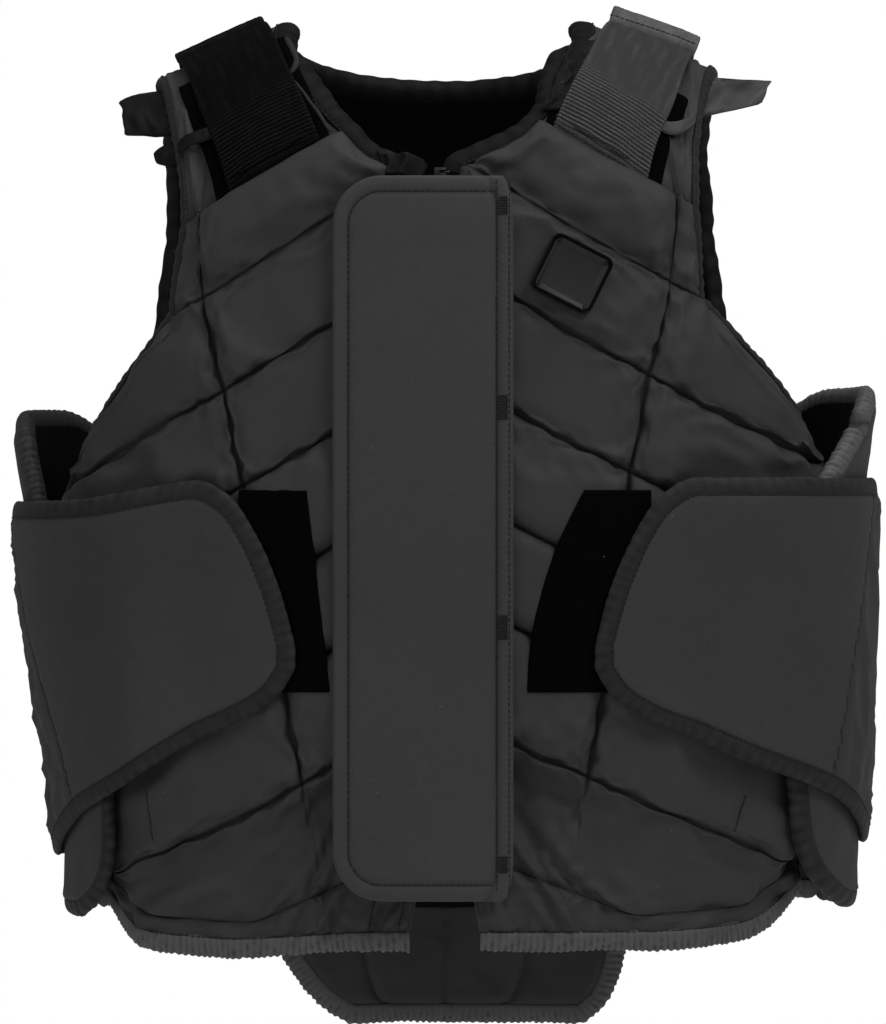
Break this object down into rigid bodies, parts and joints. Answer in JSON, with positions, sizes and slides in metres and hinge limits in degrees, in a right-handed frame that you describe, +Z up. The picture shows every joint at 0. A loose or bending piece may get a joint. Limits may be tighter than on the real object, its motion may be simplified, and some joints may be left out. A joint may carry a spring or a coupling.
{
  "type": "equestrian body protector",
  "caption": "Quilted foam riding vest in its worn form, with a zip cover, wrap-over waist wings, elastic shoulder straps, bound edges and a quilted tail flap.",
  "frame": {"origin": "between the shoulders, at the height of the inside of the shoulder arches, where the vest sits", "axes": "+Z up, X across the body with +X to the wearer's left, -Y towards the front"},
  "size_m": [0.4638, 0.2616, 0.5455],
  "materials": {
    "shell_cloth": "charcoal woven nylon over foam, matt with a faint sheen",
    "flap_cloth": "charcoal woven cloth with a fine cross streak",
    "black_tape": "black woven binding tape",
    "grey_tape": "grey gathered elastic binding",
    "lining": "black lining with a soft gloss",
    "loop_pile": "black brushed loop tape",
    "webbing": "wide elastic webbing, ribbed at its lower end",
    "patch_rubber": "moulded black rubber, satin"
  },
  "bodies": {
    "root": {"front_panel_right": "shell_cloth", "front_panel_left": "shell_cloth", "back_panel": "shell_cloth", "tail_flap": "lining", "side_panel_right": "shell_cloth", "side_panel_left": "shell_cloth", "waist_wing_right": "shell_cloth", "waist_wing_left": "shell_cloth", "front_flap": "flap_cloth", "front_zip": "black_tape", "neck_binding_right": "black_tape", "neck_binding_left": "black_tape", "neck_binding_back": "black_tape", "armhole_binding_right": "black_tape", "armhole_binding_left": "black_tape", "back_armhole_binding_right": "black_tape", "back_armhole_binding_left": "black_tape", "hem_binding_right": "grey_tape", "hem_binding_left": "grey_tape", "back_hem_binding_right": "grey_tape", "back_hem_binding_left": "grey_tape", "tail_binding": "grey_tape", "side_binding_right": "grey_tape", "side_binding_left": "grey_tape", "wing_binding_right": "black_tape", "wing_binding_left": "black_tape", "loop_patch_right": "loop_pile", "loop_patch_left": "loop_pile", "shoulder_strap_right": "webbing", "shoulder_strap_left": "webbing", "hook_tape_right": "loop_pile", "hook_tape_left": "loop_pile", "strap_keeper_right": "black_tape", "strap_keeper_left": "black_tape", "shoulder_tab_right": "black_tape", "shoulder_tab_left": "black_tape", "label_patch": "patch_rubber"}
  },
  "joints": []
}
